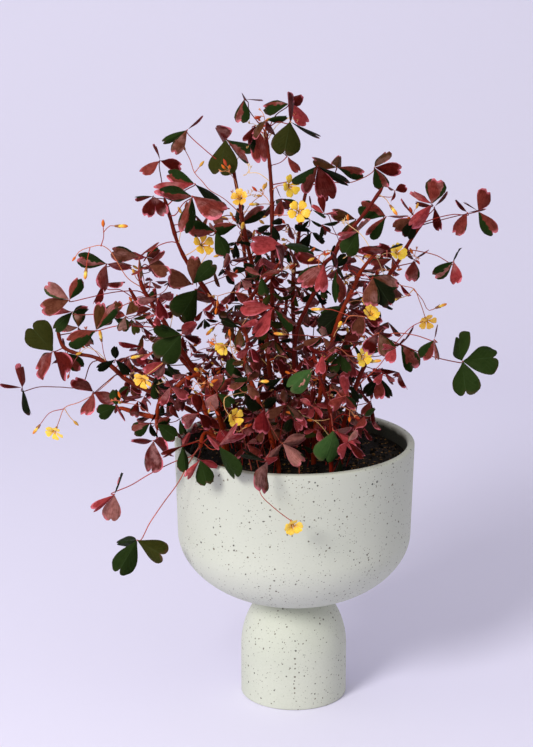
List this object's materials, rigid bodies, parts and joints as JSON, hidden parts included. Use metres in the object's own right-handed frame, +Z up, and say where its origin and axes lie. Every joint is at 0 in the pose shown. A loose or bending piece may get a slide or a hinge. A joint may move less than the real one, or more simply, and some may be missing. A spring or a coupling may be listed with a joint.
{
  "type": "potted oxalis plant",
  "caption": "House plant with plum and green heart-shaped leaves and small yellow flowers, standing in a speckled footed bowl.",
  "frame": {"origin": "centre of the foot's underside, on the surface that the planter stands on", "axes": "+Z up along the planter's axis, -Y towards the picture's viewer, +X to the viewer's right"},
  "size_m": [0.3774, 0.2561, 0.4612],
  "materials": {
    "planter": "matt speckled stoneware",
    "soil": "crumbly, damp",
    "foliage": "soft satin leaves on red-brown stems",
    "bloom": "soft petals"
  },
  "bodies": {
    "root": {"bloom_01": "bloom", "bloom_02": "bloom", "bloom_03": "bloom", "bloom_04": "bloom", "bloom_05": "bloom", "bloom_06": "bloom", "bloom_07": "bloom", "bloom_08": "bloom", "bloom_09": "bloom", "bloom_10": "bloom", "bloom_11": "bloom", "bloom_12": "bloom", "bloom_13": "bloom", "bloom_14": "bloom", "bloom_15": "bloom", "bloom_16": "bloom", "bloom_17": "bloom", "bloom_18": "bloom", "bloom_19": "bloom", "bloom_20": "bloom", "bloom_21": "bloom", "bloom_22": "bloom", "bloom_23": "bloom", "bloom_24": "bloom", "bloom_25": "bloom", "bloom_26": "bloom", "bloom_27": "bloom", "bloom_28": "bloom", "bloom_29": "bloom", "bloom_30": "bloom", "bloom_31": "bloom", "bloom_32": "bloom", "bloom_33": "bloom", "bloom_34": "bloom", "planter": "planter", "soil": "soil", "stem_arching": "foliage", "stem_back": "foliage", "stem_back_left": "foliage", "stem_back_right": "foliage", "stem_far_back": "foliage", "stem_far_left": "foliage", "stem_front": "foliage", "stem_front_left": "foliage", "stem_front_right": "foliage", "stem_left": "foliage", "stem_left_of_tall": "foliage", "stem_low_back_left": "foliage", "stem_low_right": "foliage", "stem_mid_right": "foliage", "stem_right": "foliage", "stem_right_low": "foliage", "stem_right_of_mid": "foliage", "stem_tall": "foliage", "stem_upper_left": "foliage"}
  },
  "joints": []
}
